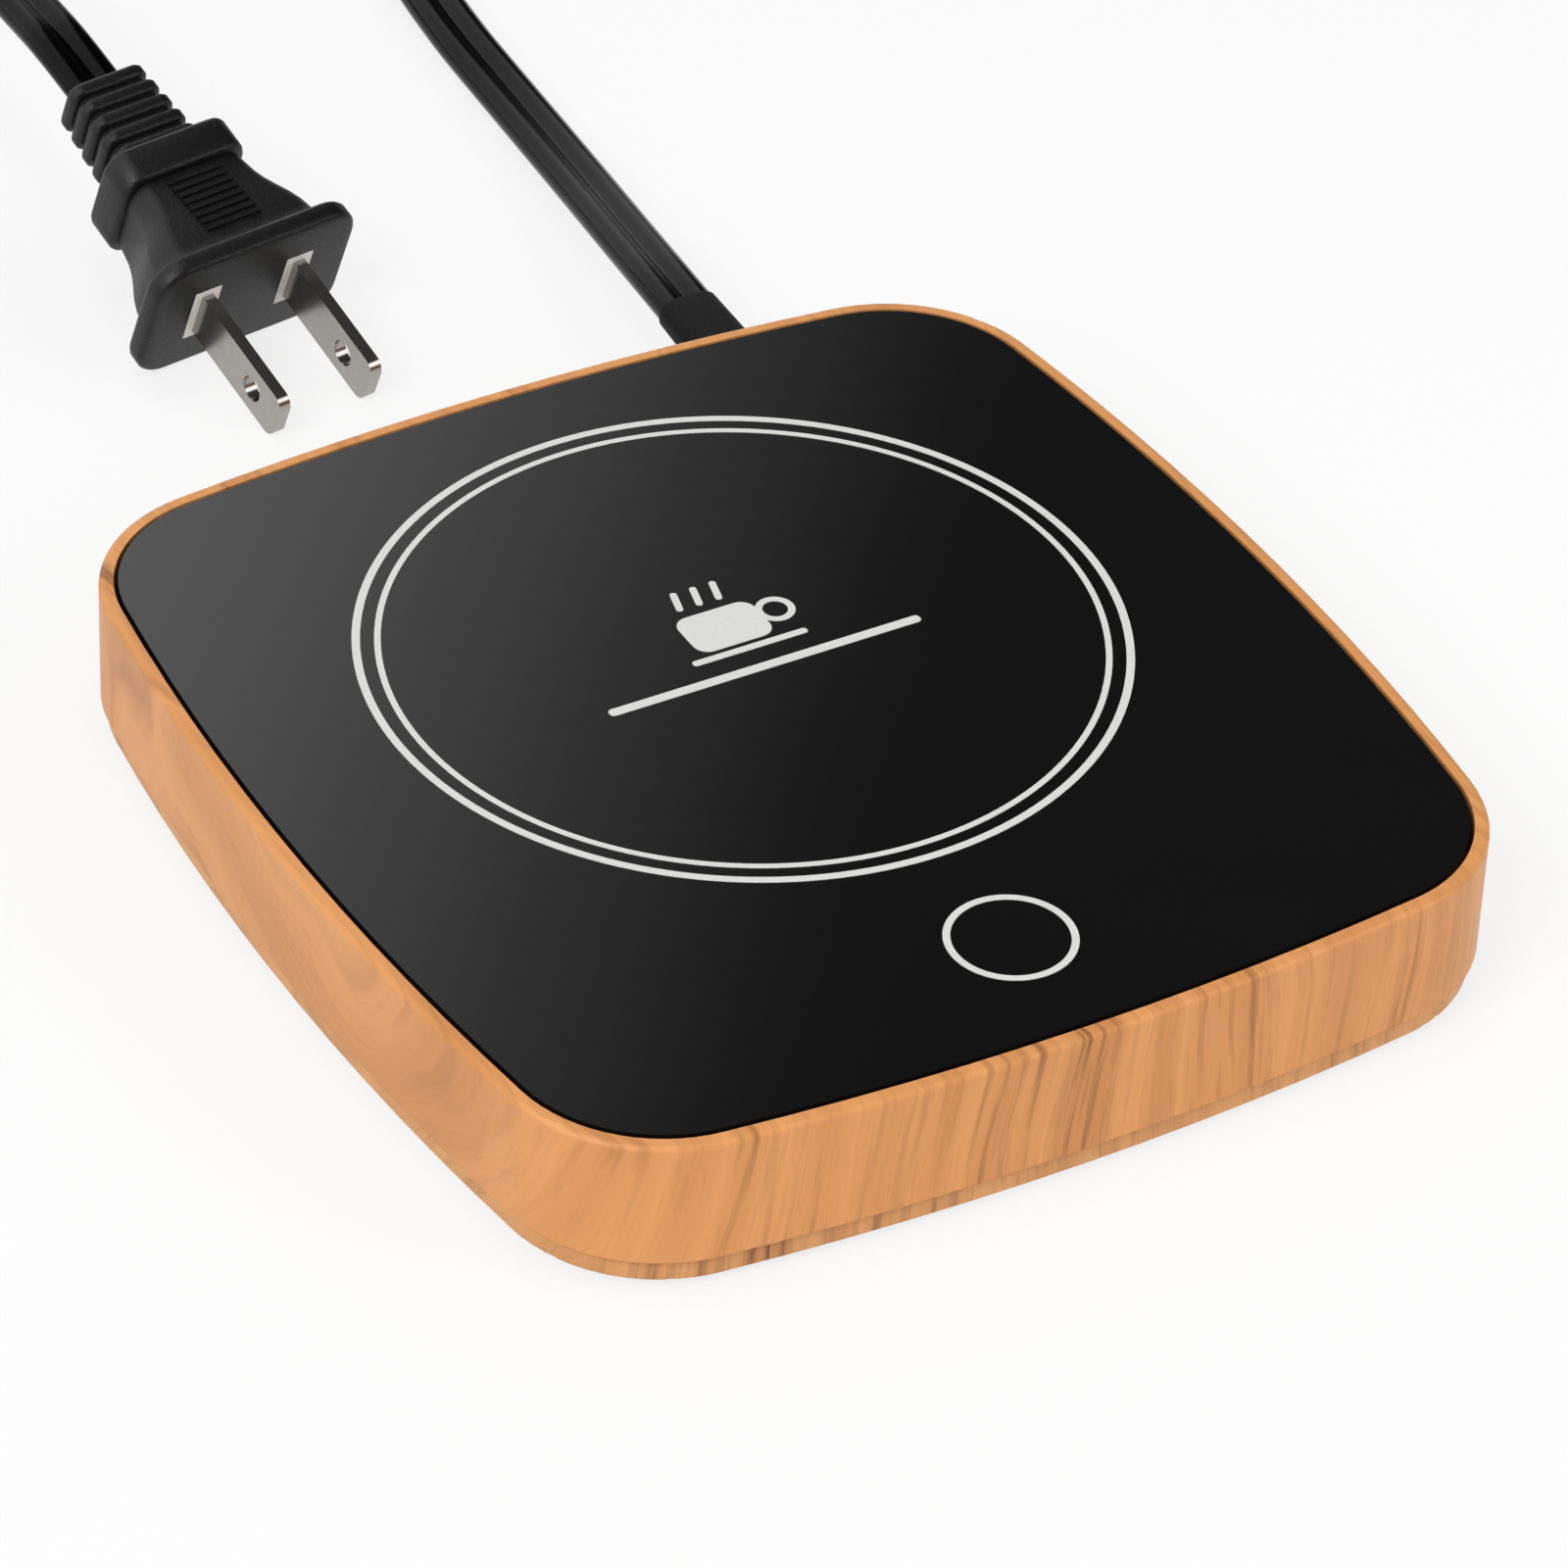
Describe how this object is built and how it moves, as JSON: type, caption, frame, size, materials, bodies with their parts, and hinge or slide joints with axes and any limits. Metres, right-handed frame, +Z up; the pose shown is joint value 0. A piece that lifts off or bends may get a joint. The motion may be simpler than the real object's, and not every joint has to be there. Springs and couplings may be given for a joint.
{
  "type": "electric mug warmer",
  "caption": "Low bowed-square mug warmer: black glass hot plate floating in a wood-print shell, flat black lead with a two-blade plug.",
  "frame": {"origin": "middle of the housing's outline, on the table that the feet stand on", "axes": "+Z up, +Y to the rear where the mains lead leaves, +X to the right seen from the front, where the touch key is"},
  "size_m": [0.1296, 0.3631, 0.0233],
  "materials": {
    "wood_print": "satin wood-pattern print on ABS",
    "wood_print_base": "satin wood-pattern print on ABS, darker",
    "black_glass": "black back-coated toughened glass, glossy",
    "black_rubber": "matte silicone",
    "steel": "zinc plated",
    "dark_plastic": "moulded heat-resistant plastic",
    "aluminium_sheet": "plain mill finish",
    "heater_foil": "mica laminate with foil track",
    "fibre_sheet": "ceramic fibre paper",
    "fuse_body": "glazed body",
    "sensor_bead": "epoxy bead",
    "light_guide": "milky acrylic",
    "board_green": "solder mask",
    "film_blue": "moulded box capacitor",
    "can_black": "sleeved can",
    "terminal_green": "moulded terminal block",
    "chip_black": "epoxy package",
    "fuse_glass": "tubular fuse",
    "lamp_white": "small lamps",
    "switch_red": "switch button",
    "spring_steel": "spring wire",
    "lead_white": "insulated lead",
    "cord_black": "glossy PVC",
    "plug_black": "satin PVC moulding",
    "nickel": "nickel plated brass",
    "plug_insert": "pale inner moulding"
  },
  "bodies": {
    "housing": {"top_housing": "wood_print", "base_tray": "wood_print_base", "rubber_feet": "black_rubber", "housing_screws": "steel", "guide_pins": "steel", "control_board": "board_green", "board_screws": "steel", "film_capacitor": "film_blue", "smoothing_capacitor": "can_black", "terminal_block": "terminal_green", "power_triac": "chip_black", "control_chip": "chip_black", "board_fuse": "fuse_glass", "key_lamps": "lamp_white", "switch_body": "dark_plastic", "return_springs": "spring_steel", "heater_leads": "lead_white", "supply_wires": "lead_white", "cord_bushing": "plug_black", "cord_clamp_bar": "dark_plastic", "cord_clamp_screws": "steel", "cord_exit_run": "cord_black", "cord_coil": "cord_black", "cord_plug_run": "cord_black", "plug_body": "plug_black", "plug_blades": "nickel", "blade_surrounds": "plug_insert", "plug_strain_relief": "plug_black"},
    "hot_plate": {"glass_plate": "black_glass", "plate_frame": "dark_plastic", "heat_spreader": "aluminium_sheet", "heater_disc": "heater_foil", "insulating_sheet": "fibre_sheet", "press_plate": "steel", "press_plate_screws": "steel", "thermal_fuse": "fuse_body", "fuse_clip": "steel", "temperature_sensor": "sensor_bead", "key_light_guide": "light_guide"},
    "plunger": {"switch_plunger": "switch_red"}
  },
  "joints": [
    {"name": "plate_press", "type": "slide", "parent": "housing", "child": "hot_plate", "axis": [0, 0, -1], "range_m": [0, 0.001], "stiffness_N_per_m": 1500, "springref_m": -0.0017, "deforming": ["return_springs", "heater_leads"]},
    {"name": "plunger_travel", "type": "slide", "parent": "housing", "child": "plunger", "axis": [0, 0, -1], "range_m": [0, 0.001]}
  ],
  "couplings": [
    {"joint": "plunger_travel", "follows": "plate_press", "ratio": 1}
  ]
}
